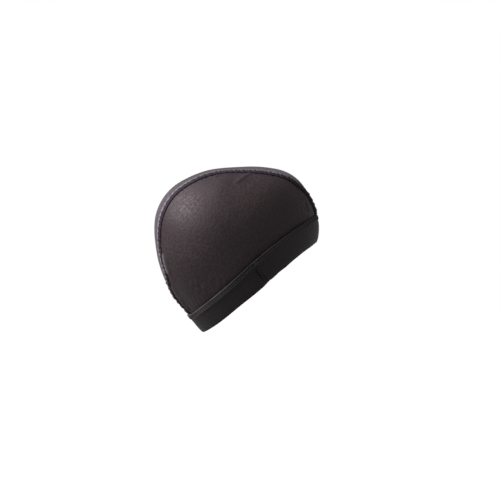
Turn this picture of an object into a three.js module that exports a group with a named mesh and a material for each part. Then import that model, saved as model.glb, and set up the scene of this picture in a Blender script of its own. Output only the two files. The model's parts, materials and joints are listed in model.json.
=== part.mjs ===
// A dome wig cap as it is worn: two D-shaped side panels and a long centre panel of fine
// stretch net, joined by two raised flatlock seams, and sewn under the top edge of a wide
// elastic band whose two ends lap on the right side.
//
// Units are millimetres. The cap is laid out in its own frame, with the band's lower edge in
// the XY plane, +X to the forehead and +Y to the left ear. Each piece is then pitched back,
// forehead up, the way the cap is worn. The origin is the middle of the band's opening.

import * as THREE from "three";
import { mergeVertices } from "three/addons/utils/BufferGeometryUtils.js";

// Driving sizes
const capLength = 200; // from the nape to the forehead's bulge, along the band's plane
const capBreadth = 150; // across the widest part, above the ears
const capDepth = 154; // from the band's plane to the top of the crown
const wearPitch = 38; // degrees that the band's plane climbs towards the forehead
const netWall = 1.2; // the stretch net of the three crown panels
const bandWidth = 26; // the elastic band, straight up, at the forehead and at the nape
const bandWall = 1.6; // the elastic band, through
const bandTuck = 8; // how much of the crown's edge hides under the band
const edgeRise = 8.6; // how far the band climbs over each temple
const edgeHang = 3.5; // how much wider the band is over the ears, where it is stretched least
const centreWidth = 66; // the centre panel, at its widest
const seamWidth = 7; // the flatlock seam, across
const seamHeight = 1.3; // the flatlock seam, above the net
const seamEdge = 0.35; // how thick the seam is at its edges, as a share of its height
const lapLength = 12; // the band's two ends lie over each other this far
const lapPlace = 5.5; // the outer end's lower corner, this far ahead of the opening's middle
const lapSlant = 4; // the two cut ends lean back this far on their way up
const rampLength = 9; // the stretch in which the band climbs onto its other end

// Clearances
const layerGap = 0.35; // between two layers that are sewn flat together
const seamGap = 0.45; // between the net and the seam on it
const edgeGap = 0.4; // between two panel edges, under the seam
const seamStop = 0.5; // between a seam's end and the band's edge

// How finely the curved sheets are cut into flat faces
const seamSteps = 64;
const seamRows = 4;
const panelSteps = 48;
const panelRows = 12;
const centreRows = 6;
const bandSteps = 84;
const bandRows = 4;

const degrees = Math.PI / 180;
const halfBreadth = capBreadth / 2;
const roundness = 2.05; // 2 is a plain ellipse across the cap, more is squarer

// The crown's outline in the middle plane, as shares of the cap's length and depth. The rows
// under the band's plane carry the wall on downwards, so that it keeps its slope there.
const outline = [
  { at: "nape edge", forward: -0.427, up: 0 },
  { at: "nape", forward: -0.432, up: 0.17 },
  { at: "under the back", forward: -0.434, up: 0.36 },
  { at: "back", forward: -0.407, up: 0.54 },
  { at: "upper back", forward: -0.35, up: 0.7 },
  { at: "back of the top", forward: -0.22, up: 0.918 },
  { at: "top", forward: -0.06, up: 1 },
  { at: "front of the top", forward: 0.14, up: 0.956 },
  { at: "hairline", forward: 0.31, up: 0.83 },
  { at: "upper forehead", forward: 0.445, up: 0.69 },
  { at: "forehead bulge", forward: 0.53, up: 0.55 },
  { at: "forehead", forward: 0.553, up: 0.39 },
  { at: "over the brow", forward: 0.51, up: 0.17 },
  { at: "brow edge", forward: 0.415, up: 0 },
  { at: "below the brow", forward: 0.3, up: -0.23 },
  { at: "below the front", forward: 0.1, up: -0.48 },
  { at: "below the middle", forward: -0.08, up: -0.55 },
  { at: "below the back", forward: -0.26, up: -0.48 },
  { at: "below the nape", forward: -0.39, up: -0.26 },
];

// How far the band climbs from the forehead, round past the ear, to the nape, as shares of
// edgeRise, and how far its lower edge hangs below that, as shares of edgeHang
const edgeTable = [
  { along: 0, rise: 0, hang: 0 },
  { along: 0.11, rise: 0.35, hang: 0.12 },
  { along: 0.22, rise: 0.72, hang: 0.32 },
  { along: 0.33, rise: 0.94, hang: 0.62 },
  { along: 0.44, rise: 1, hang: 0.97 },
  { along: 0.56, rise: 0.77, hang: 0.7 },
  { along: 0.66, rise: 0.55, hang: 0.28 },
  { along: 0.8, rise: 0.28, hang: 0.25 },
  { along: 1, rise: 0, hang: 0 },
];

// Half the centre panel's width along the crown seam, forehead to nape, as shares of
// centreWidth / 2
const centreTaper = [
  { along: 0, width: 0.52 },
  { along: 0.1, width: 0.88 },
  { along: 0.2, width: 1 },
  { along: 0.3, width: 0.97 },
  { along: 0.4, width: 0.94 },
  { along: 0.5, width: 0.95 },
  { along: 0.6, width: 0.88 },
  { along: 0.7, width: 0.71 },
  { along: 0.85, width: 0.5 },
  { along: 1, width: 0.41 },
];

// The main folds. Each runs straight over the crown between two places: along is the share
// of the way along the seam from the forehead, down the share from the seam to the band.
const foldWidth = 8;
const foldHeight = 1.6;
const foldFade = 8;
const folds = [
  { name: "top pucker", along: 0.41, down: 0.12, toAlong: 0.46, toDown: 0.26, width: 1, height: 0.7 },
  { name: "back fold", along: 0.76, down: 0.14, toAlong: 0.88, toDown: 0.18, width: 1, height: 0.8 },
  { name: "nape fold", along: 0.91, down: 0.35, toAlong: 0.95, toDown: 0.7, width: 1, height: 1 },
  { name: "ear fold", along: 0.8, down: 0.6, toAlong: 0.78, toDown: 0.9, width: 1.2, height: 0.5 },
  { name: "forehead fold", along: 0.05, down: 0.6, toAlong: 0.13, toDown: 0.2, width: 1, height: 0.7 },
];

// Small lumps that ride along the crown seams, where their thread draws the net in
const lumpLength = 11;
const lumpHeight = 0.9;
const seamLumps = [
  { along: 0.1, height: 0.8 },
  { along: 0.18, height: 0.8 },
  { along: 0.26, height: 0.5 },
  { along: 0.47, height: 0.6 },
  { along: 0.58, height: 0.4 },
  { along: 0.83, height: 0.6 },
  { along: 0.9, height: 0.9 },
];

// The crown is measured from this point inside it
const hub = new THREE.Vector3(-0.02 * capLength, 0, 0.455 * capDepth);

// The value of a column of a table at a place between its rows, on a smooth curve
function readTable(table, column, place) {
  const last = table.length - 1;
  let row = 0;
  while (row < last - 1 && table[row + 1].along < place) row += 1;
  const value = (index) => table[Math.min(Math.max(index, 0), last)][column];
  const share = (place - table[row].along) / (table[row + 1].along - table[row].along);
  const [before, from, to, after] = [value(row - 1), value(row), value(row + 1), value(row + 2)];
  const slopeIn = (to - before) / 2;
  const slopeOut = (after - from) / 2;
  const bend = 3 * (to - from) - 2 * slopeIn - slopeOut;
  const twist = 2 * (from - to) + slopeIn + slopeOut;
  return from + share * (slopeIn + share * (bend + share * twist));
}

// The parameter between low and high at which a rising test turns from false to true
function findTurn(low, high, isPast) {
  let [from, to] = [low, high];
  for (let step = 0; step < 40; step += 1) {
    const middle = (from + to) / 2;
    if (isPast(middle)) to = middle;
    else from = middle;
  }
  return (from + to) / 2;
}

// The outline's distance from the hub, by its angle about the hub
const outlineCurve = new THREE.CatmullRomCurve3(
  outline.map((row) => new THREE.Vector3(row.forward * capLength, 0, row.up * capDepth)),
  true,
  "centripetal",
);
const outlineSpokes = outlineCurve
  .getPoints(720)
  .slice(1)
  .map((point) => point.sub(hub))
  .map((spoke) => ({ angle: Math.atan2(spoke.z, spoke.x), radius: Math.hypot(spoke.x, spoke.z) }))
  .sort((one, other) => one.angle - other.angle);

function outlineRadius(angle) {
  const count = outlineSpokes.length;
  const turned = Math.atan2(Math.sin(angle), Math.cos(angle));
  let [low, high] = [-1, count];
  while (high - low > 1) {
    const middle = (low + high) >> 1;
    if (outlineSpokes[middle].angle <= turned) low = middle;
    else high = middle;
  }
  const before = outlineSpokes[(low + count) % count];
  const after = outlineSpokes[high % count];
  const span = after.angle - before.angle + (after.angle < before.angle ? 2 * Math.PI : 0);
  const past = turned - before.angle + (turned < before.angle ? 2 * Math.PI : 0);
  return before.radius + ((after.radius - before.radius) * past) / span;
}

// How far the crown's outer face lies from the hub in a direction, before any fold
function skinReach(direction) {
  const level = Math.hypot(direction.x, direction.z) / outlineRadius(Math.atan2(direction.z, direction.x));
  const across = Math.abs(direction.y) / halfBreadth;
  return direction.length() / (level ** roundness + across ** roundness) ** (1 / roundness);
}

// The crown's outward normal at a point of its face
function skinNormal(point) {
  const depth = (x, y, z) => {
    const spoke = new THREE.Vector3(x, y, z).sub(hub);
    return spoke.length() / skinReach(spoke);
  };
  const nudge = 0.8;
  const { x, y, z } = point;
  return new THREE.Vector3(
    depth(x + nudge, y, z) - depth(x - nudge, y, z),
    depth(x, y + nudge, z) - depth(x, y - nudge, z),
    depth(x, y, z + nudge) - depth(x, y, z - nudge),
  ).normalize();
}

// The point of the smooth crown that lies in a direction from the hub
function skinPoint(direction) {
  return direction.clone().setLength(skinReach(direction)).add(hub);
}

// A column of the band's table at a place round the opening
function readEdge(column, azimuth) {
  const turned = Math.abs(Math.atan2(Math.sin(azimuth), Math.cos(azimuth)));
  return readTable(edgeTable, column, turned / Math.PI);
}

// How much higher the band lies at a place round the opening than at the forehead
function edgeClimb(azimuth) {
  return edgeRise * readEdge("rise", azimuth);
}

// A line of points that can be read at any share of its length
function evenLine(points) {
  const curve = new THREE.CatmullRomCurve3(points, false, "centripetal");
  curve.arcLengthDivisions = 400;
  return (share) => curve.getPointAt(Math.min(Math.max(share, 0), 1));
}

// A line beside the middle of the crown seam, forehead to nape, that stops at a height over
// the band's lower edge
function seamLine(side, beside, endHeight) {
  const seamHalf = (along) => (centreWidth / 2) * readTable(centreTaper, "width", along) + beside;
  const place = (angle, half) => {
    const inwards = (1 - Math.abs(half / halfBreadth) ** roundness) ** (1 / roundness);
    const reach = outlineRadius(angle) * inwards;
    return new THREE.Vector3(reach * Math.cos(angle), side * half, reach * Math.sin(angle)).add(hub);
  };
  const isAbove = (angle, half) => {
    const { x, y, z } = place(angle, half);
    return z > endHeight + edgeClimb(Math.atan2(y, x));
  };
  const front = findTurn(-80 * degrees, 0, (angle) => isAbove(angle, seamHalf(0)));
  const back = findTurn(-80 * degrees, 0, (angle) => isAbove(Math.PI - angle, seamHalf(1)));
  const turn = Math.PI - back - front;
  const shares = Array.from({ length: 81 }, (_, step) => step / 80);
  return evenLine(shares.map((along) => place(front + turn * along, seamHalf(along))));
}

// The direction from the hub to the crown at a place round the opening, and at a height over
// the band's lower edge
function ringDirection(azimuth, height) {
  const z = height + edgeClimb(azimuth) - hub.z;
  const spoke = (reach) =>
    new THREE.Vector3(reach * Math.cos(azimuth) - hub.x, reach * Math.sin(azimuth), z);
  const reach = findTurn(0, capLength, (length) => spoke(length).length() > skinReach(spoke(length)));
  return spoke(reach);
}

// The line where a side panel ends under the band, from the seam's front end to its back end
function tuckLine(side, seam) {
  const [front, back] = [seam(0), seam(1)];
  const from = Math.atan2(side * front.y, front.x);
  const to = Math.atan2(side * back.y, back.x);
  const points = [front];
  for (let step = 1; step < 60; step += 1) {
    const azimuth = side * (from + ((to - from) * step) / 60);
    points.push(ringDirection(azimuth, bandWidth - bandTuck).add(hub));
  }
  points.push(back);
  return evenLine(points);
}

// Turns one direction into another, evenly
function turnBetween(from, to, share) {
  const angle = from.angleTo(to);
  if (angle < 1e-6) return from.clone();
  const [one, other] = [from.clone().normalize(), to.clone().normalize()];
  one.multiplyScalar(Math.sin((1 - share) * angle));
  return one.addScaledVector(other, Math.sin(share * angle));
}

// Directions from the hub over a side panel: along the seam, and down from it to the band
function panelDirections(side) {
  const seam = seamLine(side, edgeGap / 2, bandWidth - bandTuck);
  const tuck = tuckLine(side, seam);
  return (along, down) => turnBetween(seam(along).sub(hub), tuck(along).sub(hub), down);
}

const rightSide = -1;
const leftSide = 1;
const rightPanel = panelDirections(rightSide);
const leftPanel = panelDirections(leftSide);

// The folds of the right side and the lumps of both seams, placed on the smooth crown
const foldLines = folds.map((fold) => ({
  line: new THREE.Line3(
    skinPoint(rightPanel(fold.along, fold.down)),
    skinPoint(rightPanel(fold.toAlong, fold.toDown)),
  ),
  width: foldWidth * fold.width,
  height: foldHeight * fold.height,
}));
const lumps = [rightPanel, leftPanel].flatMap((panel) =>
  seamLumps.map((lump) => ({
    place: skinPoint(panel(lump.along, 0)),
    height: lumpHeight * lump.height,
  })),
);

// How far the folds and lumps lift the net at a point of the smooth crown. The band holds the
// net flat, so they fade out above it.
function foldLift(point) {
  const bandTop = bandWidth + edgeClimb(Math.atan2(point.y, point.x));
  const free = THREE.MathUtils.smoothstep(point.z, bandTop, bandTop + foldFade);
  if (free === 0) return 0;
  const nearest = new THREE.Vector3();
  let lift = 0;
  for (const { line, width, height } of foldLines) {
    line.closestPointToPoint(point, true, nearest);
    lift += height * Math.exp(-((nearest.distanceTo(point) / width) ** 2));
  }
  for (const { place, height } of lumps) {
    lift += height * Math.exp(-((place.distanceTo(point) / lumpLength) ** 2));
  }
  return lift * free;
}

// A point over the crown's outer face, folds included, in a direction from the hub
function crownPoint(direction, over) {
  const point = skinPoint(direction);
  return point.addScaledVector(skinNormal(point), over + foldLift(point));
}

// A closed sheet between an outer and an inner face. The face function gives a point for a
// share of the sheet's length, a share of its width, and which of the two faces is meant.
function buildSheet(steps, rows, face) {
  const ring = 2 * (rows + 1);
  const positions = [];
  const triangles = [];
  for (let step = 0; step <= steps; step += 1) {
    for (let row = 0; row <= rows; row += 1) {
      positions.push(...face(step / steps, row / rows, true).toArray());
    }
    for (let row = rows; row >= 0; row -= 1) {
      positions.push(...face(step / steps, row / rows, false).toArray());
    }
  }
  const addQuad = (a, b, c, d) => triangles.push(a, b, c, a, c, d);
  for (let step = 0; step < steps; step += 1) {
    for (let spot = 0; spot < ring; spot += 1) {
      const next = (spot + 1) % ring;
      const [near, far] = [step * ring, (step + 1) * ring];
      addQuad(near + spot, far + spot, far + next, near + next);
    }
  }
  for (let row = 0; row < rows; row += 1) {
    const far = steps * ring;
    addQuad(row, row + 1, ring - 2 - row, ring - 1 - row);
    addQuad(far + row, far + ring - 1 - row, far + ring - 2 - row, far + row + 1);
  }
  const loose = new THREE.BufferGeometry();
  loose.setAttribute("position", new THREE.Float32BufferAttribute(positions, 3));
  loose.setIndex(triangles);
  const sheet = mergeVertices(loose, 1e-3);
  sheet.setIndex(realTriangles(sheet.index.array));
  return facingOut(sheet);
}

// Leaves out the triangles that have shrunk to a line or a point
function realTriangles(corners) {
  const kept = [];
  for (let first = 0; first < corners.length; first += 3) {
    const [a, b, c] = corners.slice(first, first + 3);
    if (a !== b && b !== c && c !== a) kept.push(a, b, c);
  }
  return kept;
}

// Turns a closed sheet's triangles over where its volume comes out negative
function facingOut(sheet) {
  const corners = Array.from(sheet.index.array);
  const corner = (spot) => new THREE.Vector3().fromBufferAttribute(sheet.attributes.position, spot);
  let volume = 0;
  for (let first = 0; first < corners.length; first += 3) {
    const [a, b, c] = corners.slice(first, first + 3).map(corner);
    volume += a.dot(b.cross(c));
  }
  if (volume < 0) sheet.setIndex(corners.reverse());
  sheet.computeVertexNormals();
  return sheet;
}

function sidePanel(direction) {
  return buildSheet(panelSteps, panelRows, (along, down, isOuter) =>
    crownPoint(direction(along, down), isOuter ? 0 : -netWall),
  );
}

function centrePanel() {
  const endHeight = bandWidth - bandTuck;
  const right = seamLine(rightSide, -edgeGap / 2, endHeight);
  const left = seamLine(leftSide, -edgeGap / 2, endHeight);
  return buildSheet(seamSteps, centreRows, (along, across, isOuter) => {
    const direction = turnBetween(right(along).sub(hub), left(along).sub(hub), across);
    return crownPoint(direction, isOuter ? 0 : -netWall);
  });
}

// A flatlock seam: a low rounded ridge that covers the gap between two panels
function crownSeam(side) {
  const endHeight = bandWidth + seamStop;
  const right = seamLine(side, -seamWidth / 2, endHeight);
  const left = seamLine(side, seamWidth / 2, endHeight);
  return buildSheet(seamSteps, seamRows, (along, across, isOuter) => {
    const direction = turnBetween(right(along).sub(hub), left(along).sub(hub), across);
    const swell = Math.sqrt(1 - (2 * across - 1) ** 2);
    const top = seamHeight * (seamEdge + (1 - seamEdge) * swell);
    return crownPoint(direction, seamGap + (isOuter ? top : 0));
  });
}

// The band is one strip. It starts on the right side on top of its own other end, runs round
// the forehead, the left side and the nape, and slips under its start.
function elasticBand() {
  const start = -Math.acos(lapPlace / halfBreadth);
  const lapTurn = lapLength / halfBreadth;
  const rampTurn = rampLength / halfBreadth;
  const slantTurn = lapSlant / halfBreadth;
  const climb = bandWall + layerGap;
  return buildSheet(bandSteps, bandRows, (along, up, isOuter) => {
    const turn = along * (2 * Math.PI + lapTurn);
    const azimuth = start + turn - slantTurn * up;
    const height = bandWidth * up - edgeHang * readEdge("hang", azimuth) * (1 - up);
    const onTop = 1 - THREE.MathUtils.smoothstep(turn, lapTurn, lapTurn + rampTurn);
    const over = layerGap + climb * onTop + (isOuter ? bandWall : 0);
    return crownPoint(ringDirection(azimuth, height), over);
  });
}

const cap = new THREE.Group();
cap.name = "wig_cap";

// Pitches a piece back to the way it is worn, and adds it to the cap
function addPiece(name, color, roughness, geometry) {
  const material = new THREE.MeshStandardMaterial({ color, roughness });
  const piece = new THREE.Mesh(geometry.rotateY(-wearPitch * degrees), material);
  piece.name = name;
  cap.add(piece);
}

addPiece("crown_center_panel", 0x3a353a, 0.85, centrePanel());
addPiece("side_panel_right", 0x2c2629, 0.85, sidePanel(rightPanel));
addPiece("side_panel_left", 0x2c2629, 0.85, sidePanel(leftPanel));
addPiece("crown_seam_right", 0x121012, 0.75, crownSeam(rightSide));
addPiece("crown_seam_left", 0x121012, 0.75, crownSeam(leftSide));
addPiece("elastic_band", 0x1c1a1b, 0.7, elasticBand());

export default cap;
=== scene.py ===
# %% [markdown]
# # A stretch wig cap
#
# This lesson dresses a dome wig cap: black stretch net in three panels, two raised crown
# seams, and a wide elastic band sewn on with a zig-zag. The solid model of each piece is
# loaded first, as a frame that already has the right size and shape. Each piece is then built
# again from its own solid, with the folds, threads and knit that a solid leaves out.

# %% Load the frame
import json
import math

import bpy
import numpy as np
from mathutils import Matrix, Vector
from mathutils.bvhtree import BVHTree
from mathutils.kdtree import KDTree


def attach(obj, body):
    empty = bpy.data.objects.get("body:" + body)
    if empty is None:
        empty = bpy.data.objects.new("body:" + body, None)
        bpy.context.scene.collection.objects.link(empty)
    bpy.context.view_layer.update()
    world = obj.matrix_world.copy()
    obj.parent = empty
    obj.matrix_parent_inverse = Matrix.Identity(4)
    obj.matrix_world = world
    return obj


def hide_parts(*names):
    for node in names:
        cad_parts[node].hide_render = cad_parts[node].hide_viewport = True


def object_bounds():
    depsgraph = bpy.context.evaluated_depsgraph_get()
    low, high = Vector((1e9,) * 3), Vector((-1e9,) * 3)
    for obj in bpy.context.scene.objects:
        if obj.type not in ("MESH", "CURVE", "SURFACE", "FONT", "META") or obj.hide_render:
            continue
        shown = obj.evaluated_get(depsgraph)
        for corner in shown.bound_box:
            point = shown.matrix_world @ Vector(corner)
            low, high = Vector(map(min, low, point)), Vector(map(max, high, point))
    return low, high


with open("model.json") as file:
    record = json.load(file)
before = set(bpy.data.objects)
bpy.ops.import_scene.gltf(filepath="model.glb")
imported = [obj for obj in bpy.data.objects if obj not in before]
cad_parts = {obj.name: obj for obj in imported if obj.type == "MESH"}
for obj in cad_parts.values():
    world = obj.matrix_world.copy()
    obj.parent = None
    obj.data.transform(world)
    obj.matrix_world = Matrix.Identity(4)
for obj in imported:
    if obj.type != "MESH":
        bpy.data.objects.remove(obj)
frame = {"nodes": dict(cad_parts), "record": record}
cad_box = [list(corner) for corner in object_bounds()]
lowest, highest = map(Vector, cad_box)
print("nodes:", sorted(frame["nodes"]))
print("size in mm:", [round(1000 * (high - low)) for low, high in zip(lowest, highest)])

# %% [markdown]
# ## The camera
#
# The photograph was taken level with the cap, from its right side and a few degrees behind,
# with a lens long enough to keep the dome from bulging. The distance follows from the scale:
# one pixel of the 500 shows 1.17 mm. Folds that the photograph shows are placed later by the
# pixel at which it shows them, so the camera comes before the cloth.

# %% Camera
MM = 0.001
IMAGE_WIDTH = 500
PIXEL = 1.17 * MM
LENS = 85
SENSOR = 36
AZIMUTH = math.radians(-7)
CAP_CENTRE_PX = (237, 249.5)

distance = LENS / SENSOR * IMAGE_WIDTH * PIXEL
away = Vector((math.sin(AZIMUTH), -math.cos(AZIMUTH), 0))
rightwards = Vector((math.cos(AZIMUTH), math.sin(AZIMUTH), 0))
upwards = Vector((0, 0, 1))
middle = (lowest + highest) / 2
aim = middle + rightwards * (IMAGE_WIDTH / 2 - CAP_CENTRE_PX[0]) * PIXEL
aim -= upwards * (IMAGE_WIDTH / 2 - CAP_CENTRE_PX[1]) * PIXEL

bpy.ops.object.camera_add(location=aim + away * distance)
camera = bpy.context.object
camera.data.lens = LENS
camera.data.sensor_width = SENSOR
camera.rotation_euler = (-away).to_track_quat("-Z", "Y").to_euler()
bpy.context.scene.camera = camera
print(f"camera {distance:.2f} m away")

# %% [markdown]
# ## The cap's own directions
#
# The cap sits pitched back, so up and forward along the band aren't the world's. The mount
# that holds it gives the way into the cap, and the other two directions follow. The hub is a
# place inside the crown from which every part of the net is seen from within.

# %% The cap's own directions
cap_up = -Vector(frame["record"]["mounts"][0]["axis"]).normalized()
cap_left = Vector((0, 1, 0))
cap_forward = cap_left.cross(cap_up)
CAP_AXES = np.array([cap_forward, cap_left, cap_up])
HUB = cap_up * 70 * MM - cap_forward * 4 * MM
BAND_MIDDLE = cap_up * 13 * MM


def in_cap(places):
    """Places along the cap's own directions: forward, left and up from the band's lower edge"""
    return places @ CAP_AXES.T


print("the cap is pitched back by", round(math.degrees(math.asin(cap_forward.z))), "degrees")

# %% [markdown]
# ## Helpers for meshes
#
# An operator acts on whatever is selected, so one helper makes a piece the only selected one.
# The others read and write all corners of a mesh at once, which is how folds are pressed in.

# %% Helpers for meshes
WELD = 0.01 * MM
SAME_FACE = math.radians(40)


def pick(piece):
    """Makes a piece the only selected object, and the active one"""
    bpy.ops.object.select_all(action="DESELECT")
    piece.select_set(True)
    bpy.context.view_layer.objects.active = piece


def modify(piece, kind, **settings):
    """Adds a modifier and applies it"""
    pick(piece)
    modifier = piece.modifiers.new(kind.title(), kind)
    for setting, value in settings.items():
        setattr(modifier, setting, value)
    bpy.ops.object.modifier_apply(modifier=modifier.name)


def subdivide(piece, levels):
    """Rounds a mesh off between its corners"""
    modify(piece, "SUBSURF", levels=levels, render_levels=levels)


def places_of(piece):
    flat = np.empty(3 * len(piece.data.vertices))
    piece.data.vertices.foreach_get("co", flat)
    return flat.reshape(-1, 3)


def normals_of(piece):
    flat = np.empty(3 * len(piece.data.vertices))
    piece.data.vertex_normals.foreach_get("vector", flat)
    return flat.reshape(-1, 3)


def put_places(piece, places):
    piece.data.vertices.foreach_set("co", places.ravel())
    piece.data.update()


def copy_solid(node, name, centre=None):
    """A welded copy of a solid. With a centre, only its face that looks away from there."""
    bpy.ops.object.select_all(action="DESELECT")
    piece = bpy.data.objects.new(name, frame["nodes"][node].data.copy())
    piece.data.name = name
    piece.data.materials.clear()
    bpy.context.collection.objects.link(piece)
    pick(piece)
    bpy.ops.object.mode_set(mode="EDIT")
    bpy.ops.mesh.select_all(action="SELECT")
    bpy.ops.mesh.remove_doubles(threshold=WELD)
    bpy.ops.mesh.select_mode(type="FACE")
    bpy.ops.mesh.select_all(action="DESELECT")
    bpy.ops.object.mode_set(mode="OBJECT")
    if centre is not None:
        faces = piece.data.polygons
        outermost = max(faces, key=lambda face: face.normal.dot((face.center - centre).normalized()))
        outermost.select = True
        bpy.ops.object.mode_set(mode="EDIT")
        bpy.ops.mesh.faces_select_linked_flat(sharpness=SAME_FACE)
        bpy.ops.mesh.select_all(action="INVERT")
        bpy.ops.mesh.delete(type="FACE")
        bpy.ops.object.mode_set(mode="OBJECT")
    bpy.ops.object.mode_set(mode="EDIT")
    bpy.ops.mesh.select_all(action="SELECT")
    bpy.ops.mesh.tris_convert_to_quads(face_threshold=math.pi, shape_threshold=math.pi)
    bpy.ops.object.mode_set(mode="OBJECT")
    triangles = sum(len(face.vertices) == 3 for face in piece.data.polygons)
    print(f"{name}: {len(piece.data.polygons)} faces, {triangles} of them triangles")
    return piece


def tree_of(*pieces):
    """A search tree over several meshes, for finding a surface along a line of sight"""
    places = []
    faces = []
    for piece in pieces:
        first = len(places)
        places += [corner.co.copy() for corner in piece.data.vertices]
        faces += [[first + spot for spot in face.vertices] for face in piece.data.polygons]
    return BVHTree.FromPolygons(places, faces)


# %% [markdown]
# ## Where the seams and the band lie
#
# Puckers follow the crown seams and gathers stand on the band, so both are measured once, on
# the solids. Each cross-section of a seam's solid has ten corners, and its middle is their
# mean. Sorted by their angle over the crown they come out in order, front to back.

# %% Where the seams and the band lie
SECTION_CORNERS = 10
LINE_STEP = 0.5 * MM
RING_STEP = 4


def angle_over_crown(places):
    """The angle about the hub from forward, over the crown, to the back"""
    forward, _, up = in_cap(places - np.array(HUB)).T
    angle = np.arctan2(up, forward)
    return np.where(angle < -math.pi / 2, angle + 2 * math.pi, angle)


def even_line(places, step):
    """The same line with its places an even step apart"""
    walked = np.concatenate([[0], np.cumsum(np.linalg.norm(np.diff(places, axis=0), axis=1))])
    spots = np.linspace(0, walked[-1], round(walked[-1] / step) + 1)
    return np.column_stack([np.interp(spots, walked, column) for column in places.T])


def seam_line(node):
    """The middle of a seam's solid, front to back"""
    corners = np.unique(places_of(frame["nodes"][node]).round(6), axis=0)
    corners = corners[np.argsort(angle_over_crown(corners))]
    sections = corners[: len(corners) // SECTION_CORNERS * SECTION_CORNERS]
    return even_line(sections.reshape(-1, SECTION_CORNERS, 3).mean(axis=1), LINE_STEP)


seam_lines = {side: seam_line(f"crown_seam_{side}") for side in ("right", "left")}
for side, line in seam_lines.items():
    print(f"{side} crown seam: {len(line) * LINE_STEP / MM:.0f} mm long")


def azimuth_of(places):
    """The angle round the opening, from forward towards the left"""
    forward, left, _ = in_cap(places).T
    return np.arctan2(left, forward)


band_corners = places_of(frame["nodes"]["elastic_band"])
band_azimuths = azimuth_of(band_corners)
ring = np.radians(np.arange(-180, 181, RING_STEP))
ring_gap = np.abs(np.angle(np.exp(1j * (ring[:, None] - band_azimuths))))
near_ring = ring_gap < math.radians(RING_STEP)
band_heights = in_cap(band_corners)[:, 2]
band_bottom = np.where(near_ring, band_heights, np.inf).min(axis=1)
band_top = np.where(near_ring, band_heights, -np.inf).max(axis=1)
print(f"the band is {(band_top - band_bottom).mean() / MM:.0f} mm high")


def over_band(places):
    """How far places are above the band's top edge"""
    return in_cap(places)[:, 2] - np.interp(azimuth_of(places), ring, band_top)


# %% [markdown]
# ## Single folds
#
# Cloth physics could drape the net, but stretched this tight it hardly folds, and a fold that
# shows has to lie where the photograph shows it. So each single fold is given by the pixels
# between which it runs. It is a rounded ridge along a straight line, or a hollow, that dies
# out at both ends. Where the net is doubled in a pucker, its ridge is also painted paler, as a painted
# highlight.

# %% Single folds
# The pixels between which a fold runs, its width and height in millimetres, and how much painted highlight
# it gets
FOLDS = [
    {"name": "top fold", "from": (234, 184), "to": (252, 172.5), "width": 2.6, "height": 1.1},
    {"name": "short top fold", "from": (213.5, 178.4), "to": (220, 174.4), "width": 1.6, "height": 0.8},
    {"name": "top hollow", "from": (243, 187), "to": (258, 178), "width": 4.0, "height": -0.3},
    {"name": "pucker", "from": (162.5, 253), "to": (169, 276), "width": 1.5, "height": 1.8, "painted_highlight": 0.5},
    {"name": "back hollow", "from": (167.5, 260), "to": (173, 278), "width": 2.2, "height": -0.8},
    {"name": "nape pucker", "from": (171, 286), "to": (179, 299), "width": 1.2, "height": 0.8, "painted_highlight": 0.25},
    {"name": "nape pit", "from": (187, 306), "to": (191, 311), "width": 3.0, "height": -1.2},
    {"name": "nape fold", "from": (179, 297), "to": (187, 309), "width": 1.8, "height": 0.8},
    {"name": "front crease", "from": (304.5, 199), "to": (308, 213), "width": 1.5, "height": -0.6},
    {"name": "gather 1", "from": (191.5, 280), "to": (192.5, 293), "width": 2.4, "height": 0.35},
    {"name": "gather 2", "from": (196.5, 279), "to": (198.5, 295), "width": 2.6, "height": 0.4},
    {"name": "gather 3", "from": (203.5, 283), "to": (205.5, 296), "width": 2.4, "height": 0.4},
    {"name": "gather 4", "from": (210, 275), "to": (211.5, 286), "width": 2.6, "height": 0.3},
    {"name": "gather 5", "from": (218, 276), "to": (219.5, 289), "width": 2.2, "height": 0.4},
    {"name": "gather 6", "from": (225.5, 277), "to": (226.5, 285), "width": 2.2, "height": 0.3},
]


def seen_at(pixel, tree):
    """The place on a surface that the photograph shows at a pixel"""
    target = aim + rightwards * (pixel[0] - IMAGE_WIDTH / 2) * PIXEL
    target -= upwards * (pixel[1] - IMAGE_WIDTH / 2) * PIXEL
    return tree.ray_cast(camera.location, (target - camera.location).normalized())[0]


def ridge(places, start, end, width):
    """The shape of a straight fold: 1 along its line, 0 past its ends"""
    way = end - start
    share = np.clip((places - start) @ way / (way @ way), 0, 1)
    gap = np.linalg.norm(places - start - share[:, None] * way, axis=1)
    taper = 1 - np.abs(2 * share - 1) ** 3
    return taper * np.exp(-((gap / width) ** 2))


def folds_on(places, tree):
    """How far the folds lift the net at each place, and how much painted highlight they put there"""
    lift = np.zeros(len(places))
    painted_highlight = np.zeros(len(places))
    for fold in FOLDS:
        start, end = (seen_at(fold[key], tree) for key in ("from", "to"))
        if start is None or end is None:
            print("not on this panel:", fold["name"])
            continue
        shape = ridge(places, np.array(start), np.array(end), fold["width"] * MM)
        lift += fold["height"] * MM * shape
        # Painted highlight: a pucker's ridge is painted paler.
        painted_highlight += fold.get("painted_highlight", 0) * shape
    return lift, painted_highlight


print(len(FOLDS), "single folds")

# %% [markdown]
# ## Gathers, puckers and a fuller crown
#
# Gathers stand on the band, because the net is longer than the elastic that it is sewn to.
# They lean, and their spacing drifts, since even waves would look like pleats. Fine puckers
# lie across the crown seams, one for each few stitches. Along its middle the crown also stands
# a little fuller than its solid. Two tables say how high, going round the opening and over
# the crown.

# %% Gathers, puckers and crest
BAND_RADIUS = 85 * MM
GATHERS_ROUND = 86
GATHER_REACH = 17 * MM
GATHER_FREE = 2 * MM
GATHER_LEAN = -0.35
PUCKER_PITCH = 6.5 * MM
PUCKER_REACH = 6 * MM
PUCKER_FREE = 3 * MM
PUCKER_HEIGHT = 0.35 * MM
CREST_HALF = 20 * MM

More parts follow.
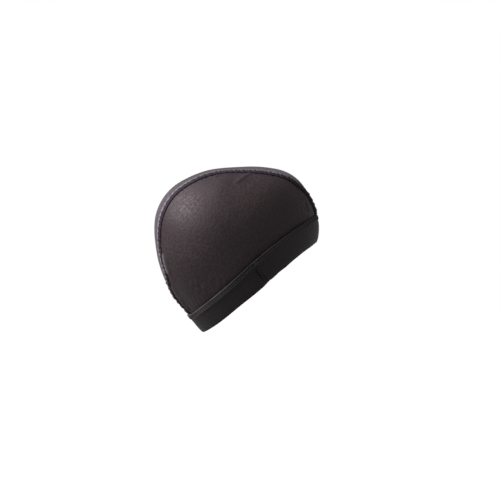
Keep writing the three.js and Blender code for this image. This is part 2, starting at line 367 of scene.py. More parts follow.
# How high the gathers stand, by the angle round the opening from forward to the left
GATHERS = [
    {"azimuth": -180, "height": 0.15},
    {"azimuth": -150, "height": 0.25},
    {"azimuth": -125, "height": 0.2},
    {"azimuth": -100, "height": 0.15},
    {"azimuth": -60, "height": 0.1},
    {"azimuth": -35, "height": 0.05},
    {"azimuth": -12, "height": 0.3},
    {"azimuth": 15, "height": 0.3},
    {"azimuth": 60, "height": 0.15},
    {"azimuth": 120, "height": 0.45},
    {"azimuth": 150, "height": 0.35},
    {"azimuth": 180, "height": 0.15},
]

# How much fuller than its solid the crown stands, by the angle over it from forward
CREST = [
    {"angle": -45, "height": 0.0},
    {"angle": -18, "height": 1.2},
    {"angle": 0, "height": 2.0},
    {"angle": 18, "height": 1.3},
    {"angle": 38, "height": 0.6},
    {"angle": 60, "height": 0.6},
    {"angle": 83, "height": 0.3},
    {"angle": 107, "height": 1.1},
    {"angle": 138, "height": 1.2},
    {"angle": 168, "height": 0.2},
    {"angle": 185, "height": 0.0},
]


def uneven_waves(walked, pitch):
    """Rounded waves whose spacing drifts, with sharp tops and wide hollows"""
    drift = 0.8 * np.sin(walked / pitch * 0.9) + 0.5 * np.sin(walked / pitch * 2.3 + 1)
    return (0.5 + 0.5 * np.cos(2 * math.pi * walked / pitch + drift)) ** 2


def read(table, key, value, spots):
    """A column of a table at places between its rows"""
    return np.interp(spots, [row[key] for row in table], [row[value] for row in table])


def gather_lift(places):
    """How far the gathers lift the net. Where it is tucked under the band, not at all."""
    azimuth = azimuth_of(places)
    above = over_band(places)
    heights = read(GATHERS, "azimuth", "height", np.degrees(azimuth))
    leaning = azimuth + GATHER_LEAN * above / BAND_RADIUS
    drift = 1.1 * np.sin(11 * leaning) + 0.7 * np.sin(29 * leaning + 1)
    waves = (0.5 + 0.5 * np.cos(GATHERS_ROUND * leaning + drift)) ** 2
    fade = np.exp(-((np.maximum(above, 0) / GATHER_REACH) ** 2))
    return heights * MM * fade * np.clip(above / GATHER_FREE, 0, 1) * waves


def from_seam(places, side):
    """The nearest spot of a seam's line to each place, and how far away it is"""
    line = seam_lines[side]
    finder = KDTree(len(line))
    for spot, place in enumerate(line):
        finder.insert(place, spot)
    finder.balance()
    found = np.array([finder.find(place)[1:] for place in places])
    return found[:, 0].astype(int), found[:, 1]


def pucker_lift(places, side):
    """How far the puckers along a seam lift the net"""
    spots, gap = from_seam(places, side)
    free = np.clip(over_band(places) / PUCKER_FREE, 0, 1)
    waves = uneven_waves(spots * LINE_STEP, PUCKER_PITCH)
    return PUCKER_HEIGHT * free * waves * np.exp(-((gap / PUCKER_REACH) ** 2))


def crest_lift(places):
    """How much fuller the crown stands at each place"""
    heights = read(CREST, "angle", "height", np.degrees(angle_over_crown(places)))
    return heights * MM * np.exp(-((places[:, 1] / CREST_HALF) ** 2))


print("the highest gather stands", max(row["height"] for row in GATHERS), "mm")

# %% [markdown]
# ## Crown seams that stray
#
# On the cap the seams don't run true. Over the front of the crown the net has dragged them
# towards its middle, and above the nape out to their sides. The nets, the cords and their
# stitches all slide by the same amount, so that they stay together, and the slide fades away
# from the seam. Sliding along a dome would lift cloth off it, so what slides also sinks.

# %% Crown seams that stray
STRAY_REACH = 22 * MM
STRAY_BLEND = 21
TO_ITS_SIDE = {"right": 1, "left": -1}

# How far the net has dragged the crown seams to their sides, by the angle over the crown
STRAYS = [
    {"angle": 18, "slide": 0.0},
    {"angle": 30, "slide": -3.0},
    {"angle": 42, "slide": -4.2},
    {"angle": 55, "slide": -4.0},
    {"angle": 66, "slide": -1.8},
    {"angle": 76, "slide": 0.0},
    {"angle": 145, "slide": 0.0},
    {"angle": 158, "slide": 4.5},
    {"angle": 166, "slide": 8.0},
    {"angle": 173, "slide": 8.0},
    {"angle": 180, "slide": 3.5},
    {"angle": 192, "slide": 0.0},
]


def units(vectors):
    return vectors / np.linalg.norm(vectors, axis=-1, keepdims=True)


def sideways_at(places, side):
    """The directions along the net, square to a seam, from the centre panel to the side"""
    spots, _ = from_seam(places, side)
    ahead = units(np.gradient(seam_lines[side], axis=0))[spots]
    return np.cross(units(places - np.array(HUB)), ahead) * TO_ITS_SIDE[side]


def stray(places, side):
    """Slides places near a seam towards its side, or back from there"""
    spots, gap = from_seam(places, side)
    angles = np.degrees(angle_over_crown(seam_lines[side]))
    slides = read(STRAYS, "angle", "slide", angles)
    slides = np.convolve(slides, np.full(STRAY_BLEND, 1 / STRAY_BLEND), mode="same")
    slide = slides[spots] * MM * np.exp(-((gap / STRAY_REACH) ** 2))
    sink = slide**2 / (2 * BAND_RADIUS)
    outwards = units(places - np.array(HUB))
    return places + sideways_at(places, side) * slide[:, None] - outwards * sink[:, None]


print("the crown seams stray by up to", max(row["slide"] for row in STRAYS), "mm")

# %% [markdown]
# ## What a finish reads from the cloth
#
# A knit has to follow its cloth, so each sheet gets a UV map that is measured in millimetres of
# cloth. Where a piece is paler or darker is kept as a number for each corner.

# %% Laying cloth flat


def lay_out(piece, flat_places, turn=math.inf):
    """Gives a piece a UV map, in millimetres of cloth, from each corner's place on the cloth.
    Where the cloth closes on itself after a turn, no face runs back over it."""
    layer = piece.data.uv_layers.new(name="cloth")
    spots = np.empty(len(piece.data.loops), int)
    piece.data.loops.foreach_get("vertex_index", spots)
    flat = flat_places[spots]
    starts = np.array([face.loop_start for face in piece.data.polygons])
    counts = np.array([face.loop_total for face in piece.data.polygons])
    furthest = np.repeat(np.maximum.reduceat(flat[:, 0], starts), counts)
    flat[furthest - flat[:, 0] > turn / 2, 0] += turn
    layer.data.foreach_set("uv", (flat / MM).ravel())


def note(piece, name, values):
    """Keeps a number for each corner of a piece, for its finish to read"""
    layer = piece.data.attributes.new(name, "FLOAT", "POINT")
    layer.data.foreach_set("value", values)


def side_cloth(places):
    """A side panel laid flat: distances from the middle of its side, in every direction"""
    forward, left, up = in_cap(places - np.array(HUB)).T
    outwards = np.hypot(forward, up)
    reach = np.linalg.norm(places - np.array(HUB), axis=1)
    spread = reach * np.arctan2(outwards, np.abs(left)) / np.maximum(outwards, 1e-9)
    return np.column_stack([forward * spread, up * spread])


# %% [markdown]
# ## The side panels
#
# Each side of the crown is a D-shaped piece of fine stretch net. It is built from the outer
# face of its solid: the sheet is subdivided until its faces are smaller than its smallest
# fold, the folds are pressed in, and Solidify gives it its wall again, inwards. Only the right
# panel has the single folds, because the photograph shows no others. In the groove where the
# net dips behind the band it is painted darker, as painted shade.

# %% Side panels
NET_WALL = 1.2 * MM
PANEL_LEVELS = 3
GROOVE = 3 * MM


def side_net(side):
    piece = copy_solid(f"side_panel_{side}", f"side_net_{side}", HUB)
    subdivide(piece, PANEL_LEVELS)
    places = places_of(piece)
    lift = gather_lift(places) + pucker_lift(places, side) + crest_lift(places)
    put_places(piece, stray(places + normals_of(piece) * lift[:, None], side))
    # Painted shade: the net is painted darker in the groove just above the band.
    note(piece, "painted_shade", np.exp(-((np.maximum(over_band(places), 0) / GROOVE) ** 2)))
    if side == "right":
        lift, painted_highlight = folds_on(places_of(piece), tree_of(piece))
        # Painted highlight on the puckers' ridges, kept for the finish.
        note(piece, "painted_highlight", painted_highlight)
        put_places(piece, places_of(piece) + normals_of(piece) * lift[:, None])
    modify(piece, "SOLIDIFY", thickness=NET_WALL, offset=-1)
    lay_out(piece, side_cloth(places_of(piece)))
    print(f"{side} side: folds of {lift.min() / MM:.1f} to {lift.max() / MM:.1f} mm")
    return piece


side_nets = {side: side_net(side) for side in ("right", "left")}

# %% [markdown]
# ## The centre panel
#
# A long strip of the same net runs over the crown between the two seams. It is made as the
# sides are, with the puckers of both seams. Beside each seam, where the net is doubled by the
# edge that is turned under, it is painted paler: a painted highlight of grazing light. Along
# its middle over the front of the crown it is painted darker: painted shade, away from the key
# light behind the cap. Both are kept as a number for each corner.

# %% Centre panel
PALE_FROM = 5.1 * MM
PALE_HALF = 2.1 * MM
DARK_HALF = 16 * MM
DARK_MOST = 0.9
DARK_END = 1.85
DARK_BLEND = 0.5


def centre_cloth(places):
    """The centre panel laid flat: across it, and along it"""
    forward, left, up = in_cap(places - np.array(HUB)).T
    return np.column_stack([left, angle_over_crown(places) * np.hypot(forward, up).mean()])


centre_net = copy_solid("crown_center_panel", "centre_net", HUB)
subdivide(centre_net, PANEL_LEVELS)
places = places_of(centre_net)
lift = gather_lift(places) + pucker_lift(places, "right") + pucker_lift(places, "left")
lift += crest_lift(places)
gap = np.minimum(from_seam(places, "right")[1], from_seam(places, "left")[1])
# Painted highlight: a paler strip beside each seam.
note(centre_net, "painted_highlight", np.exp(-(((gap - PALE_FROM) / PALE_HALF) ** 2)))
# Painted shade: darker along the middle over the front of the crown.
painted_shade = DARK_MOST * np.clip((DARK_END - angle_over_crown(places)) / DARK_BLEND, 0, 1)
note(centre_net, "painted_shade", painted_shade * np.exp(-((places[:, 1] / DARK_HALF) ** 2)))
places = places + normals_of(centre_net) * lift[:, None]
put_places(centre_net, stray(stray(places, "right"), "left"))
modify(centre_net, "SOLIDIFY", thickness=NET_WALL, offset=-1)
lay_out(centre_net, centre_cloth(places_of(centre_net)))
print(f"centre panel: lifted by up to {lift.max() / MM:.1f} mm")
nets = [centre_net, *side_nets.values()]

# %% [markdown]
# ## The crown seams
#
# The three panels meet under two flatlock seams, which stand proud as a dark cord of thread.
# The cord's body is the seam's solid, subdivided so that it is round on top. It swells and
# shrinks a little along its length, as thread does that was pulled tight at every stitch, and
# stands out most over the forehead.

# %% Crown seams
SEAM_LEVELS = 2
SEAM_SINK = 0.35 * MM
SEAM_WIDER = 0.05
SWELL_WIDER = 0.1
SWELL_PITCH = 6.5 * MM
SWELL_HEIGHT = 0.5 * MM
CALM_MIDDLE = 1.4
CALM_HALF = 1.1
BULGE_HEIGHT = 1.0 * MM
BULGE_END = 0.175
BULGE_BLEND = 0.25


def swells_at(side):
    """How much a seam swells at each spot of its line: most at the forehead and the nape"""
    angles = angle_over_crown(seam_lines[side])
    ends = np.clip(np.abs(angles - CALM_MIDDLE) - CALM_HALF, 0, 1)
    return uneven_waves(np.arange(len(angles)) * LINE_STEP, SWELL_PITCH) * (1 + ends)


def seam_cord(side):
    """A seam's cord, with its swells, on its strayed line"""
    piece = copy_solid(f"crown_seam_{side}", f"seam_cord_{side}")
    subdivide(piece, SEAM_LEVELS)
    places = places_of(piece)
    spots, _ = from_seam(places, side)
    swells = swells_at(side)[spots]
    outwards = units(places - np.array(HUB))
    sideways = sideways_at(places, side)
    across = ((places - seam_lines[side][spots]) * sideways).sum(axis=1)
    slide = across * (SEAM_WIDER + SWELL_WIDER * swells)
    on_top = np.clip((normals_of(piece) * outwards).sum(axis=1), 0, 1)
    bulge = np.clip((BULGE_END - angle_over_crown(places)) / BULGE_BLEND, 0, 1)
    lift = (SWELL_HEIGHT * swells + BULGE_HEIGHT * bulge) * on_top - SEAM_SINK + crest_lift(places)
    put_places(piece, stray(places + outwards * lift[:, None] + sideways * slide[:, None], side))
    return piece


seam_cords = {side: seam_cord(side) for side in ("right", "left")}

# %% [markdown]
# ### Threads
#
# The stitches of a seam are one thread that runs across the cord and back, from side to side.
# A curve with a round bevel makes a thread out of a row of places. Each place is found by a
# ray cast down onto the cord, so that the thread lies on its swells, half sunk in.

# %% Threads
THREAD_RADIUS = 0.32 * MM
CROSS_RADIUS = 0.45 * MM
CROSS_LIFT = 0.05 * MM
STITCH_PITCH = 2.2 * MM
STITCH_HALF = 1.0 * MM
STITCH_STEPS = 8
SPOTS_AHEAD = 4
CAST_FROM = 8 * MM


def sew(name, threads, radius):
    """Joins threads, each a row of places, into one mesh of thin closed tubes"""
    curve = bpy.data.curves.new(name, "CURVE")
    curve.dimensions = "3D"
    curve.bevel_depth = radius
    curve.bevel_resolution = 1
    curve.use_fill_caps = True
    for thread in threads:
        spline = curve.splines.new("POLY")
        spline.points.add(len(thread) - 1)
        rows = np.column_stack([thread, np.ones(len(thread))])
        spline.points.foreach_set("co", rows.ravel())
    piece = bpy.data.objects.new(name, curve)
    bpy.context.collection.objects.link(piece)
    pick(piece)
    bpy.ops.object.convert(target="MESH")
    print(f"{name}: {len(threads)} threads, {len(piece.data.polygons)} faces")
    return piece


def laid_on(tree, place, outwards, lift):
    """The place on a surface under a place that is a little way off it, lifted again"""
    hit = tree.ray_cast(Vector(place + outwards * CAST_FROM), Vector(-outwards))[0]
    return None if hit is None else np.array(hit) + outwards * lift


def cross_stitches(side, tree):
    """One thread that zig-zags over the seam's cord"""
    line = stray(seam_lines[side], side)
    legs = int((len(line) - 1) * LINE_STEP / STITCH_PITCH)
    thread = []
    for leg in range(legs):
        for step in range(STITCH_STEPS):
            share = step / STITCH_STEPS
            spot = int((leg + share) * STITCH_PITCH / LINE_STEP)
            after = line[min(spot + SPOTS_AHEAD, len(line) - 1)]
            ahead = units(after - line[max(spot - SPOTS_AHEAD, 0)])
            outwards = units(line[spot] - np.array(HUB))
            sideways = np.cross(outwards, ahead)
            swing = (2 * share - 1) * (-1) ** leg * STITCH_HALF
            place = laid_on(tree, line[spot] + sideways * swing, outwards, CROSS_LIFT)
            if place is not None:
                thread.append(place)
    return np.array(thread)


seam_stitches = {}
for side, cord in seam_cords.items():
    tree = tree_of(cord, *nets)
    seam_stitches[side] = sew(f"seam_stitches_{side}", [cross_stitches(side, tree)], CROSS_RADIUS)

# %% [markdown]
# ## The elastic band
#
# One strip of wide elastic goes round the opening, and its two ends lie over each other on
# the right side. It is built from the outer face of its solid, as the nets are. Where each of
# its corners is, round the opening and up from the lower edge, says how it is shaped there.

# %% Elastic band
BAND_LEVELS = 3
BAND_HEIGHT = 26 * MM

band = copy_solid("elastic_band", "band", BAND_MIDDLE)
subdivide(band, BAND_LEVELS)
places = places_of(band)
azimuth = azimuth_of(places)
heights = in_cap(places)[:, 2] - np.interp(azimuth, ring, band_bottom)
share_up = np.clip(heights / BAND_HEIGHT, 0, 1)
forwards = np.clip(np.cos(azimuth), 0, 1)
print("the band has", len(places), "corners to shape")

# %% [markdown]
# ### Its hem and its lap
#
# The net is hemmed under the band's top, which stands out a little there. Towards the nape the
# hem is painted paler, as painted light from the key behind the cap. The lap is levelled off at
# the bottom, where its two ends meet, and pressed into a crease along the cut end. The finish
# needs to know where the hem's painted light lies, where the band's front gets painted light
# over the forehead, and where painted shade falls at its lower edge, where it turns under, and
# in the crease, so these are kept as numbers.

# %% Hem, lap and crease
HEM = 5.6 * MM
HEM_STEP = 1 * MM
HEM_PALE_FROM = 1.75
HEM_PALE_BLEND = 0.9
UNDER = 1.4 * MM
LAP_MIDDLE = -79
LAP_REACH = 9
LAP_LEVEL = 1.2 * MM
LAP_CREASE = {"from": (254.5, 269), "to": (265, 281), "width": 1.1 * MM, "depth": 0.5 * MM}

in_hem = np.clip((HEM + over_band(places)) / HEM_STEP + 0.5, 0, 1)
rearwards = np.clip((np.abs(azimuth) - HEM_PALE_FROM) / HEM_PALE_BLEND, 0, 1)
crease_ends = [np.array(seen_at(LAP_CREASE[end], tree_of(band))) for end in ("from", "to")]
crease = ridge(places, *crease_ends, LAP_CREASE["width"])
from_lap = np.abs(np.degrees(azimuth) - LAP_MIDDLE) / LAP_REACH
level = LAP_LEVEL * np.clip(1.5 - from_lap, 0, 1) * (1 - share_up)
# Painted light: the hem is painted paler towards the nape.
note(band, "painted_hem_light", in_hem * rearwards)
# Painted light: the band is painted lighter towards its front, over the forehead.
note(band, "open", forwards)
# Painted shade: darkest at the lower edge, where the band turns under, and in the lap's crease.
note(band, "painted_band_shade", np.clip(np.exp(-((heights / UNDER) ** 2)) + crease, 0, 1))
print(f"the lap is levelled by up to {level.max() / MM:.1f} mm")

# %% [markdown]
# ### Its waves, curl and belly
#
# Stretched elastic waves a little, curls in at its lower edge, and bulges where it spans the
# forehead. With these pressed in, Solidify gives the band its wall, and Bevel takes the
# sharpness off its cut edges.

# %% Waves, curl and wall
BAND_WALL = 1.6 * MM
BAND_EDGE = 0.35 * MM
BAND_WAVE = 0.11 * MM
WAVE_SLANT = 9 * MM
BAND_CURL = 0.95 * MM
CURL_REACH = 7 * MM
BAND_BELLY = 1.4 * MM
HEM_HEIGHT = 0.45 * MM

waves = np.sin(9 * azimuth + heights / WAVE_SLANT) + 0.6 * np.sin(21 * azimuth)
curl = np.clip(1 - heights / CURL_REACH, 0, 1) ** 2 * (1 + 0.5 * np.cos(azimuth))
belly = forwards**3 * np.sin(share_up * math.pi)
lift = BAND_WAVE * waves - BAND_CURL * curl + HEM_HEIGHT * in_hem + BAND_BELLY * belly
lift -= LAP_CREASE["depth"] * crease
places = places + normals_of(band) * lift[:, None] + np.array(cap_up) * level[:, None]
put_places(band, places)
modify(band, "SOLIDIFY", thickness=BAND_WALL, offset=-1)
modify(band, "BEVEL", width=BAND_EDGE, segments=2, limit_method="ANGLE", angle_limit=math.radians(60))
band_tree = tree_of(band)
print(f"the band is pressed in by {-lift.min() / MM:.1f} mm and stands out by {lift.max() / MM:.1f} mm")

# %% [markdown]
# ### Stitches on the band
#
# A zig-zag row holds the net under the band's top edge. The net's own edge rolls over it as
# a thin line, and the hem's lower edge shows as a second one. Both are painted paler towards
# the nape, as painted light from the key behind the cap. A short bar of stitches and the cut
# end's few threads close the lap.

# %% Stitches on the band
ZIGZAG_TOP = 2.2 * MM
ZIGZAG_BOTTOM = 5.0 * MM
ZIGZAG_PITCH = 1.6 * MM
ZIGZAG_STEPS = 4
EDGE_DOWN = 0.7 * MM
EDGE_RADIUS = 0.5 * MM
HEM_RADIUS = 0.4 * MM
PLAIN_PITCH = 1.5 * MM
PALE_REAR = 1.6
OUTSIDE = 200 * MM
LAP_AZIMUTH = math.radians(-89)

# The pixels between which the lap's threads run, how far they swing, and in how many legs
LAP_THREADS = [
    {"name": "bar tack", "from": (256.5, 267.5), "to": (264.5, 268.5), "swing": 0.9, "legs": 7},
    {"name": "cut edge", "from": (258.5, 270.5), "to": (263.5, 277.5), "swing": 0.25, "legs": 8},
]


def on_band(azimuth, below, lift):
    """A place on the band's outer face, so far below its top edge"""
    height = np.interp(azimuth, ring, band_top) - below
    outwards = Vector(cap_forward) * math.cos(azimuth) + Vector(cap_left) * math.sin(azimuth)
    start = cap_up * height + outwards * OUTSIDE
    hit, normal, _, _ = band_tree.ray_cast(start, -outwards, OUTSIDE)
    return None if hit is None else np.array(hit + normal * lift)


def round_band(first, last, step, below, lift):
    """Places along the band, at a distance below its top edge that a function gives"""
    spots = np.arange(first, last, step / BAND_RADIUS)
    found = [on_band(math.remainder(spot, 2 * math.pi), below(spot), lift) for spot in spots]
    return np.array([place for place in found if place is not None])


def zigzag(azimuth):
    legs = azimuth * BAND_RADIUS / ZIGZAG_PITCH
    swing = abs(legs % 2 - 1)
    return ZIGZAG_TOP + (ZIGZAG_BOTTOM - ZIGZAG_TOP) * swing


def lap_thread(name, swing, legs, **ends):
    """A thread that zig-zags over the band between two of the photograph's pixels"""
    start, end = np.array(ends["from"]), np.array(ends["to"])
    across = units(np.array([start[1] - end[1], end[0] - start[0]])) * swing
    pixels = [start + (end - start) * leg / legs + across * (-1) ** leg for leg in range(legs + 1)]
    print(f"{name}: {legs} legs")
    return np.array([seen_at(pixel, band_tree) + away * THREAD_RADIUS for pixel in pixels])


whole_turn = (LAP_AZIMUTH, LAP_AZIMUTH + 2 * math.pi)
zigzag_row = round_band(*whole_turn, ZIGZAG_PITCH / ZIGZAG_STEPS, zigzag, THREAD_RADIUS / 2)
edge_line = round_band(*whole_turn, PLAIN_PITCH, lambda azimuth: EDGE_DOWN, EDGE_RADIUS / 3)
hem_line = round_band(*whole_turn, PLAIN_PITCH, lambda azimuth: HEM, HEM_RADIUS / 3)
lap_threads = [lap_thread(**row) for row in LAP_THREADS]
band_stitches = sew("band_stitches", [zigzag_row, *lap_threads], THREAD_RADIUS)
band_edge = sew("band_edge", [edge_line], EDGE_RADIUS)
band_hem = sew("band_hem", [hem_line], HEM_RADIUS)
# Painted light: the edge and hem threads are painted paler towards the nape.
for piece in (band_edge, band_hem):
    note(piece, "painted_rear_light", np.clip(np.abs(azimuth_of(places_of(piece))) - PALE_REAR, 0, 1))

# %% [markdown]
# ## Finishes
#
# A material is a tree of nodes, and shader maths reads best as sums. One small class wraps a
# socket so that an expression adds its Math nodes, and another holds a material while it is
# made, with one method that adds any other node.

# %% Node helpers


class Wire:
    """An output of a node. Sums, products and powers of wires add the Math nodes for them."""

    def __init__(self, finish, socket):
        self.finish = finish
        self.socket = socket

    def maths(self, operation, *values):
        return self.finish.node("Math", {"operation": operation}, dict(enumerate(values)))

    def __add__(self, other):
        return self.maths("ADD", self, other)

    def __radd__(self, other):
        return self.maths("ADD", other, self)

    def __sub__(self, other):
        return self.maths("SUBTRACT", self, other)

    def __rsub__(self, other):
        return self.maths("SUBTRACT", other, self)

    def __mul__(self, other):
        return self.maths("MULTIPLY", self, other)

    def __rmul__(self, other):
        return self.maths("MULTIPLY", other, self)

    def sine(self):
        return self.maths("SINE", self)

    def size(self):
        return self.maths("ABSOLUTE", self)

    def larger(self, other):
        return self.maths("MAXIMUM", self, other)


class Finish:
    """A material while it is being made"""

    def __init__(self, name, **constants):
        self.material = bpy.data.materials.new(name)
        self.material.use_nodes = True
        self.tree = self.material.node_tree
        self.shader = self.tree.nodes["Principled BSDF"]
        self.set_inputs(self.shader, {key.replace("_", " "): value for key, value in constants.items()})

    def set_inputs(self, node, values):
        for name, value in values.items():
            if isinstance(value, Wire):
                self.tree.links.new(value.socket, node.inputs[name])
            else:
                node.inputs[name].default_value = value

    def node(self, kind, settings=None, values=None, out=0):
        """Adds a node: its settings first, then the values or wires of its inputs"""
        node = self.tree.nodes.new("ShaderNode" + kind)
        for name, value in (settings or {}).items():
            setattr(node, name, value)
        self.set_inputs(node, values or {})
        return Wire(self, node.outputs[out])

    def mix(self, share, one, other):
        """A colour between two colours"""
        values = {0: share, 6: one, 7: other}
        return self.node("Mix", {"data_type": "RGBA"}, values, out=2)

    def between(self, value, low, high):
        """0 where a value is low, 1 where it is high, and smooth between them"""
        settings = {"interpolation_type": "SMOOTHSTEP"}
        return self.node("MapRange", settings, {"Value": value, "From Min": low, "From Max": high})

    def noise(self, scale, detail=2.0):
        """Soft noise that sits still on the piece. The scale is in bumps to the metre."""
        place = self.node("TexCoord", out="Object")
        return self.node("TexNoise", None, {"Vector": place, "Scale": scale, "Detail": detail})

    def cloth_place(self):
        """The place on the flat cloth, in millimetres: across it and along it"""
        spread = self.node("UVMap", {"uv_map": "cloth"})
        split = self.tree.nodes.new("ShaderNodeSeparateXYZ")
        self.tree.links.new(spread.socket, split.inputs[0])
        return Wire(self, split.outputs[0]), Wire(self, split.outputs[1])

    def noted(self, name):
        """A number that was kept for each corner of the piece"""
        return self.node("Attribute", {"attribute_name": name}, out=2)

    def bump(self, height, distance, strength=1.0):
        wire = self.node("Bump", None, {"Height": height, "Distance": distance, "Strength": strength})
        self.set_inputs(self.shader, {"Normal": wire})

    def paint(self, colour):
        self.set_inputs(self.shader, {"Base Color": colour})


# %% [markdown]
# ### Net
#
# Stretch net is a mesh of fine threads that cross at a slant, with a small dark hole in each
# diamond. Two families of slanting waves give it, and the higher of the two at each place is
# the thread on top. A slow brown noise and a fine one keep the black from looking like paint.
# The side panels are smooth and glossy. The centre one is more matt, and its thread is painted
# paler, as painted sheen of the light that it catches at a slant. A little real sheen stands
# for the fuzz of its yarn.

# %% Net finishes
NET_PITCH = 1.5
CLOUDS = 38
GRAINS = 360
# The colour of the painted highlight on the puckers and beside the crown seams.
PAINTED_HIGHLIGHT_COLOUR = (0.135, 0.123, 0.135, 1)


def net_finish(name, thread, worn, hole, shine, fuzz, mottle):
    finish = Finish(name, Specular_IOR_Level=shine, Specular_Tint=(1, 0.91, 0.96, 1))
    finish.set_inputs(finish.shader, {"Sheen Weight": fuzz, "Sheen Roughness": 0.4})
    across, along = finish.cloth_place()
    turn = math.pi / NET_PITCH
    one = 1 - ((across + along) * turn).sine().size()
    other = 1 - ((across - along) * turn).sine().size()
    weave = one.larger(other)
    cloudy = finish.between(finish.noise(CLOUDS), 0.35, 0.65)
    speckle = finish.between(finish.noise(GRAINS, 1.0), 0.3, 0.7)
    yarn = finish.mix(cloudy, thread, worn)
    on_thread = finish.between(weave * (1.2 - mottle) + speckle * mottle, 0.3, 1.0)
    # Painted shade darkens the net towards its hole colour, in the groove and along the front of the crown.
    colour = finish.mix(finish.noted("painted_shade"), finish.mix(on_thread, hole, yarn), hole)
    # Painted highlight: the net is painted paler on puckers and beside the seams.
    finish.paint(finish.mix(finish.noted("painted_highlight"), colour, PAINTED_HIGHLIGHT_COLOUR))
    finish.set_inputs(finish.shader, {"Roughness": 0.54 + 0.18 * speckle})
    finish.bump(weave * 0.7 + speckle, 0.2 * MM, 0.5)
    return finish.material


side_finish = net_finish(
    "side_net",
    thread=(0.0074, 0.0048, 0.0053, 1),
    worn=(0.0091, 0.0050, 0.0053, 1),
    hole=(0.0038, 0.0020, 0.0022, 1),
    shine=0.153,
    fuzz=0,
    mottle=0.7,
)
# The centre net's thread is painted several times paler than the side net's: painted light for the grazing
# light that its strip catches.
centre_finish = net_finish(
    "centre_net",
    thread=(0.040, 0.036, 0.040, 1),
    worn=(0.043, 0.037, 0.042, 1),
    hole=(0.008, 0.0065, 0.0075, 1),
    shine=0.03,
    fuzz=0.03,
    mottle=0.35,
)
print("a net finish has", len(centre_finish.node_tree.nodes), "nodes")

# %% [markdown]
# ### Thread and elastic
#
# The seams are sewn in a matt black thread with a twist that shows as a fine slanting bump.
# The elastic is knitted in close ribs that run round the opening, with finer ones across
# them. It is painted darkest where it curls under at its lower edge and in the lap's crease,
# as painted shade, and painted a little lighter over the forehead and where the net is hemmed
# under it at the nape, as painted light.

# %% Thread and elastic finishes


def thread_finish(name, colour, light, lighter_at=None):
    finish = Finish(name, Roughness=0.75, Specular_IOR_Level=0.03)
    fluff = finish.noise(900, 3.0)
    share = finish.between(fluff, 0.35, 0.7)
    if lighter_at:
        share = share * 0.3 + finish.noted(lighter_at) * 0.7
    finish.paint(finish.mix(share, colour, light))
    finish.bump(fluff, 0.2 * MM, 0.8)
    return finish.material


cord_finish = thread_finish("cord_thread", (0.008, 0.006, 0.008, 1), (0.014, 0.011, 0.015, 1))
seam_finish = thread_finish("seam_thread", (0.042, 0.036, 0.042, 1), (0.070, 0.061, 0.071, 1))
# The edge thread is painted lighter towards the nape, as painted light.
edge_finish = thread_finish("edge_thread", (0.012, 0.011, 0.011, 1), (0.035, 0.032, 0.034, 1), "painted_rear_light")
zigzag_finish = thread_finish("zigzag_thread", (0.016, 0.015, 0.015, 1), (0.030, 0.027, 0.028, 1))

RIB_PITCH = 1.9
CROSS_PITCH = 1.1


def band_cloth(places):
    """The band laid flat: round the opening, and up from its lower edge"""
    azimuth = azimuth_of(places)
    height = in_cap(places)[:, 2] - np.interp(azimuth, ring, band_bottom)
    return np.column_stack([azimuth * BAND_RADIUS, height])


def elastic_finish():
    finish = Finish("band_elastic", Roughness=0.6, Specular_IOR_Level=0.05)
    along, up = finish.cloth_place()
    ribs = (up * (math.pi / RIB_PITCH)).sine().size()
    rungs = (along * (math.pi / CROSS_PITCH)).sine().size()
    knit = ribs * 0.7 + rungs * 0.4
    speckle = finish.noise(500, 1.0)
    cloudy = finish.between(finish.noise(45), 0.35, 0.65)
    yarn = finish.mix(cloudy, (0.0078, 0.0072, 0.0070, 1), (0.0094, 0.0074, 0.0080, 1))
    # Painted light over the forehead.
    yarn = finish.mix(finish.noted("open"), yarn, (0.0135, 0.0115, 0.0130, 1))
    # Painted light on the hem towards the nape.
    yarn = finish.mix(finish.noted("painted_hem_light"), yarn, (0.040, 0.036, 0.038, 1))
    # Painted shade at the lower edge and in the lap's crease.
    yarn = finish.mix(finish.noted("painted_band_shade"), yarn, (0.0015, 0.0014, 0.0013, 1))
    on_yarn = finish.between(knit + speckle * 0.4, 0.2, 0.9)
    finish.paint(finish.mix(on_yarn, (0.0015, 0.0014, 0.0013, 1), yarn))
    finish.bump(knit + speckle * 0.5, 0.3 * MM, 0.8)
    return finish.material


lay_out(band, band_cloth(places_of(band)), 2 * math.pi * BAND_RADIUS)
band_finish = elastic_finish()
print("the elastic's finish has", len(band_finish.node_tree.nodes), "nodes")

# %% [markdown]
# ## Putting it together
#
# Every piece rides on the cap's one body and takes its finish. The three nets and the band
# are sheets of cloth. They stand for the solids that they were made from, and those are then
# hidden.

SMOOTH_ANGLE = math.radians(50)


def wear(piece, finish):
    pick(piece)
    bpy.ops.object.shade_smooth_by_angle(angle=SMOOTH_ANGLE)
    piece.data.materials.append(finish)
    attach(piece, "root")


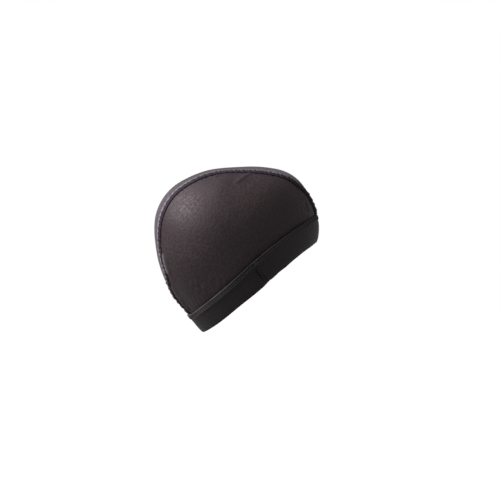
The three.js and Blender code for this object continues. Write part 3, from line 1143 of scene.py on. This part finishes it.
for side, net in side_nets.items():
    wear(net, side_finish)
    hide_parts(f"side_panel_{side}")
wear(centre_net, centre_finish)
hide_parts("crown_center_panel")
for side, cord in seam_cords.items():
    wear(cord, cord_finish)
    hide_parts(f"crown_seam_{side}")
    wear(seam_stitches[side], seam_finish)
wear(band, band_finish)
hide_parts("elastic_band")
wear(band_stitches, zigzag_finish)
wear(band_edge, edge_finish)
wear(band_hem, edge_finish)

# %% [markdown]
# ## Stage and light
#
# The cap hangs in a plain white studio, held up where a stand would be, so the floor is a
# little way below. A soft key light from behind the cap and above draws the highlight over
# the rear of the crown, and leaves the front in the even light of the room.

# %% Stage
FLOOR_DROP = 0.6
FLOOR_RADIUS = 12

bpy.ops.object.select_all(action="DESELECT")
bpy.ops.mesh.primitive_circle_add(
    vertices=96, radius=FLOOR_RADIUS, fill_type="NGON", location=(0, 0, lowest.z - FLOOR_DROP)
)
floor = bpy.context.object
floor.name = "floor"
floor_finish = Finish("white floor", Roughness=0.9, Specular_IOR_Level=0.1, Emission_Strength=0.08)
floor_finish.paint(floor_finish.mix(floor_finish.noise(2), (0.95, 0.95, 0.95, 1), (0.97, 0.97, 0.97, 1)))
floor_finish.set_inputs(floor_finish.shader, {"Emission Color": (1, 1, 1, 1)})
floor.data.materials.append(floor_finish.material)

# %% Light
bpy.context.scene.view_settings.view_transform = "Standard"
world = bpy.data.worlds.new("white studio")
bpy.context.scene.world = world
world.use_nodes = True
world.node_tree.nodes["Background"].inputs["Color"].default_value = (1, 1, 1, 1)
world.node_tree.nodes["Background"].inputs["Strength"].default_value = 1.0


def soft_light(name, place, size, power, colour, spread):
    bpy.ops.object.light_add(type="AREA", location=place)
    light = bpy.context.object
    light.name = name
    light.data.size = size
    light.data.energy = power
    light.data.color = colour
    light.data.spread = math.radians(spread)
    light.rotation_euler = (middle - light.location).to_track_quat("-Z", "Y").to_euler()


soft_light("key", (-1.06, -0.17, 0.93), 0.6, 12.5, (1, 0.95, 0.98), 60)
